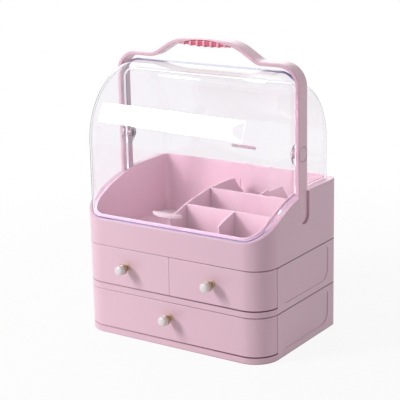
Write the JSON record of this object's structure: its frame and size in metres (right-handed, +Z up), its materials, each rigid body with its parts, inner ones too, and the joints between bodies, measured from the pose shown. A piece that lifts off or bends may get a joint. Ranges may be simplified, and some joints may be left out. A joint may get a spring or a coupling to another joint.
{
  "type": "makeup storage case with handle",
  "caption": "Tiered plastic cosmetics case with pull-out drawers, a divided top basin under two clear swing-open covers, and a carrying bail with a ribbed grip.",
  "frame": {"origin": "centre of the footprint, on the surface the case stands on", "axes": "+X to the right seen from the front, -Y out of the drawer fronts, +Z up"},
  "size_m": [0.28, 0.2125, 0.3836],
  "materials": {
    "pink_case": "satin pale pink",
    "pink_drawer": "satin pale pink",
    "red_grip": "satin rose red",
    "pale_tab": "satin very pale pink",
    "white_knob": "glossy off-white",
    "gold_neck": "polished gold colour",
    "steel_screw": "plain",
    "clear_cover": "clear moulded plastic"
  },
  "bodies": {
    "case": {"base_cabinet": "pink_case", "middle_cabinet": "pink_case", "top_case": "pink_case", "divider_long": "pink_case", "divider_cross_front": "pink_case", "divider_cross_rear": "pink_case", "divider_short_front": "pink_case", "divider_short_rear": "pink_case", "bail": "pink_case", "grip_insert": "red_grip", "bail_screws": "steel_screw", "pivot_pin_left": "pink_case", "pivot_pin_right": "pink_case", "pivot_cap_left": "pink_case", "pivot_cap_right": "pink_case", "hub_cap_left": "pink_case", "hub_cap_right": "pink_case"},
    "bottom_drawer_body": {"bottom_drawer": "pink_drawer", "bottom_drawer_front": "pink_drawer", "bottom_knob_head": "white_knob", "bottom_knob_neck": "gold_neck", "bottom_knob_screw": "steel_screw"},
    "left_drawer_body": {"left_drawer": "pink_drawer", "left_drawer_front": "pink_drawer", "left_knob_head": "white_knob", "left_knob_neck": "gold_neck", "left_knob_screw": "steel_screw"},
    "right_drawer_body": {"right_drawer": "pink_drawer", "right_drawer_front": "pink_drawer", "right_knob_head": "white_knob", "right_knob_neck": "gold_neck", "right_knob_screw": "steel_screw"},
    "front_cover_body": {"front_cover": "clear_cover", "front_tab": "pale_tab"},
    "rear_cover_body": {"rear_cover": "clear_cover", "rear_tab": "pale_tab"}
  },
  "joints": [
    {"name": "front_cover_hinge", "type": "hinge", "parent": "case", "child": "front_cover_body", "pos_m": [0, 0.0075, 0.248], "axis": [1, 0, 0], "range_deg": [-100, 0]},
    {"name": "rear_cover_hinge", "type": "hinge", "parent": "case", "child": "rear_cover_body", "pos_m": [0, 0.0075, 0.248], "axis": [1, 0, 0], "range_deg": [0, 95]},
    {"name": "bottom_drawer_slide", "type": "slide", "parent": "case", "child": "bottom_drawer_body", "axis": [0, -1, 0], "range_m": [0, 0.13]},
    {"name": "left_drawer_slide", "type": "slide", "parent": "case", "child": "left_drawer_body", "axis": [0, -1, 0], "range_m": [0, 0.13]},
    {"name": "right_drawer_slide", "type": "slide", "parent": "case", "child": "right_drawer_body", "axis": [0, -1, 0], "range_m": [0, 0.13]}
  ]
}
